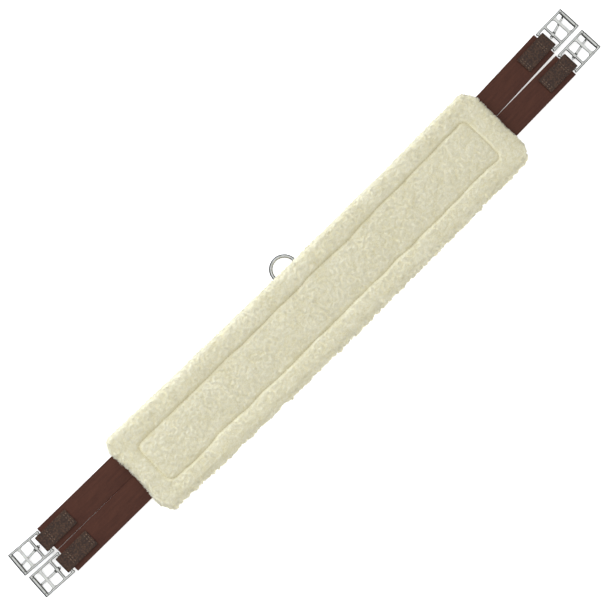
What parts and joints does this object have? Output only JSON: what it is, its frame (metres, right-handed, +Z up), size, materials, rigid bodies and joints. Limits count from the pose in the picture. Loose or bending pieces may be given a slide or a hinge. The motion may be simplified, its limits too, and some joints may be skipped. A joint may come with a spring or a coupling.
{
  "type": "saddle girth",
  "caption": "Long flat girth for a horse's saddle: a leather body with a thick fleece liner, elastic straps and roller buckles at both ends, and a ring at the middle of one edge.",
  "frame": {"origin": "on the outer leather's face, half way along the girth and between the two straps of each pair", "axes": "+X along the girth, +Y to the front edge, where the ring is, +Z up, out of the fleece, as the girth lies on its outer face"},
  "size_m": [1.1196, 0.162, 0.0261],
  "materials": {
    "outer_leather": "smooth, waxed",
    "lining_leather": "smooth, undyed",
    "chape_leather": "pebbled grain",
    "elastic": "close woven, matt",
    "webbing": "woven",
    "tape": "hook and loop",
    "backing": "knitted cloth",
    "fleece": "deep cropped pile",
    "plated_steel": "nickel plated, polished"
  },
  "bodies": {
    "girth_body": {"outer_leather": "outer_leather", "lining_leather": "lining_leather", "core_webbing": "webbing", "hook_tape": "tape", "ring_keeper": "chape_leather"},
    "liner": {"fleece_liner": "fleece", "liner_backing": "backing", "loop_tape": "tape"},
    "ring": {"centre_ring": "plated_steel"},
    "left_front_strap": {"left_front_elastic": "elastic"},
    "left_front_strap_end": {"left_front_chape": "chape_leather"},
    "left_front_buckle": {"left_front_buckle_frame": "plated_steel"},
    "left_front_roller": {"left_front_roller": "plated_steel"},
    "left_front_tongue": {"left_front_tongue": "plated_steel"},
    "left_rear_strap": {"left_rear_elastic": "elastic"},
    "left_rear_strap_end": {"left_rear_chape": "chape_leather"},
    "left_rear_buckle": {"left_rear_buckle_frame": "plated_steel"},
    "left_rear_roller": {"left_rear_roller": "plated_steel"},
    "left_rear_tongue": {"left_rear_tongue": "plated_steel"},
    "right_front_strap": {"right_front_elastic": "elastic"},
    "right_front_strap_end": {"right_front_chape": "chape_leather"},
    "right_front_buckle": {"right_front_buckle_frame": "plated_steel"},
    "right_front_roller": {"right_front_roller": "plated_steel"},
    "right_front_tongue": {"right_front_tongue": "plated_steel"},
    "right_rear_strap": {"right_rear_elastic": "elastic"},
    "right_rear_strap_end": {"right_rear_chape": "chape_leather"},
    "right_rear_buckle": {"right_rear_buckle_frame": "plated_steel"},
    "right_rear_roller": {"right_rear_roller": "plated_steel"},
    "right_rear_tongue": {"right_rear_tongue": "plated_steel"}
  },
  "joints": [
    {"name": "liner_lift", "type": "slide", "parent": "girth_body", "child": "liner", "axis": [0, 0, 1], "range_m": [0, 0.06]},
    {"name": "ring_swing", "type": "hinge", "parent": "girth_body", "child": "ring", "pos_m": [0, 0.0395, 0.0048], "axis": [-1, 0, 0], "range_deg": [-6, 110]},
    {"name": "left_front_bend", "type": "hinge", "parent": "girth_body", "child": "left_front_strap", "pos_m": [-0.36092, 0.0205, 0.0048], "axis": [0.007, 1, 0], "range_deg": [-60, 60]},
    {"name": "left_front_stretch", "type": "slide", "parent": "left_front_strap", "child": "left_front_strap_end", "axis": [-1, 0.007, 0], "range_m": [0, 0.04], "stiffness_N_per_m": 1500, "deforming": ["left_front_elastic"]},
    {"name": "left_front_buckle_swing", "type": "hinge", "parent": "left_front_strap_end", "child": "left_front_buckle", "pos_m": [-0.5084, 0.02153, 0.0048], "axis": [0.0715, 0.9974, 0], "range_deg": [-75, 75]},
    {"name": "left_front_roller_spin", "type": "hinge", "parent": "left_front_buckle", "child": "left_front_roller", "pos_m": [-0.55566, 0.02492, 0.00612], "axis": [-0.0715, -0.9974, 0], "continuous": true},
    {"name": "left_front_tongue_swing", "type": "hinge", "parent": "left_front_buckle", "child": "left_front_tongue", "pos_m": [-0.52255, 0.02254, 0.0052], "axis": [-0.0715, -0.9974, 0], "range_deg": [0, 130]},
    {"name": "left_rear_bend", "type": "hinge", "parent": "girth_body", "child": "left_rear_strap", "pos_m": [-0.36092, -0.0205, 0.0048], "axis": [0.0052, 1, 0], "range_deg": [-60, 60]},
    {"name": "left_rear_stretch", "type": "slide", "parent": "left_rear_strap", "child": "left_rear_strap_end", "axis": [-1, 0.0052, 0], "range_m": [0, 0.04], "stiffness_N_per_m": 1500, "deforming": ["left_rear_elastic"]},
    {"name": "left_rear_buckle_swing", "type": "hinge", "parent": "left_rear_strap_end", "child": "left_rear_buckle", "pos_m": [-0.5084, -0.01973, 0.0048], "axis": [0.0523, 0.9986, 0], "range_deg": [-75, 75]},
    {"name": "left_rear_roller_spin", "type": "hinge", "parent": "left_rear_buckle", "child": "left_rear_roller", "pos_m": [-0.55571, -0.01725, 0.00612], "axis": [-0.0523, -0.9986, 0], "continuous": true},
    {"name": "left_rear_tongue_swing", "type": "hinge", "parent": "left_rear_buckle", "child": "left_rear_tongue", "pos_m": [-0.52257, -0.01898, 0.0052], "axis": [-0.0523, -0.9986, 0], "range_deg": [0, 130]},
    {"name": "right_front_bend", "type": "hinge", "parent": "girth_body", "child": "right_front_strap", "pos_m": [0.37292, 0.0205, 0.0048], "axis": [0.0419, -0.9991, 0], "range_deg": [-60, 60]},
    {"name": "right_front_stretch", "type": "slide", "parent": "right_front_strap", "child": "right_front_strap_end", "axis": [0.9991, 0.0419, 0], "range_m": [0, 0.04], "stiffness_N_per_m": 1500, "deforming": ["right_front_elastic"]},
    {"name": "right_front_buckle_swing", "type": "hinge", "parent": "right_front_strap_end", "child": "right_front_buckle", "pos_m": [0.50828, 0.02617, 0.0048], "axis": [0.0262, -0.9997, 0], "range_deg": [-75, 75]},
    {"name": "right_front_roller_spin", "type": "hinge", "parent": "right_front_buckle", "child": "right_front_roller", "pos_m": [0.55565, 0.02741, 0.00612], "axis": [-0.0262, 0.9997, 0], "continuous": true},
    {"name": "right_front_tongue_swing", "type": "hinge", "parent": "right_front_buckle", "child": "right_front_tongue", "pos_m": [0.52247, 0.02654, 0.0052], "axis": [-0.0262, 0.9997, 0], "range_deg": [0, 130]},
    {"name": "right_rear_bend", "type": "hinge", "parent": "girth_body", "child": "right_rear_strap", "pos_m": [0.37292, -0.0205, 0.0048], "axis": [0.0175, -0.9998, 0], "range_deg": [-60, 60]},
    {"name": "right_rear_stretch", "type": "slide", "parent": "right_rear_strap", "child": "right_rear_strap_end", "axis": [0.9998, 0.0175, 0], "range_m": [0, 0.04], "stiffness_N_per_m": 1500, "deforming": ["right_rear_elastic"]},
    {"name": "right_rear_buckle_swing", "type": "hinge", "parent": "right_rear_strap_end", "child": "right_rear_buckle", "pos_m": [0.50838, -0.01814, 0.0048], "axis": [0.0297, -0.9996, 0], "range_deg": [-75, 75]},
    {"name": "right_rear_roller_spin", "type": "hinge", "parent": "right_rear_buckle", "child": "right_rear_roller", "pos_m": [0.55574, -0.01673, 0.00612], "axis": [-0.0297, 0.9996, 0], "continuous": true},
    {"name": "right_rear_tongue_swing", "type": "hinge", "parent": "right_rear_buckle", "child": "right_rear_tongue", "pos_m": [0.52257, -0.01771, 0.0052], "axis": [-0.0297, 0.9996, 0], "range_deg": [0, 130]}
  ]
}
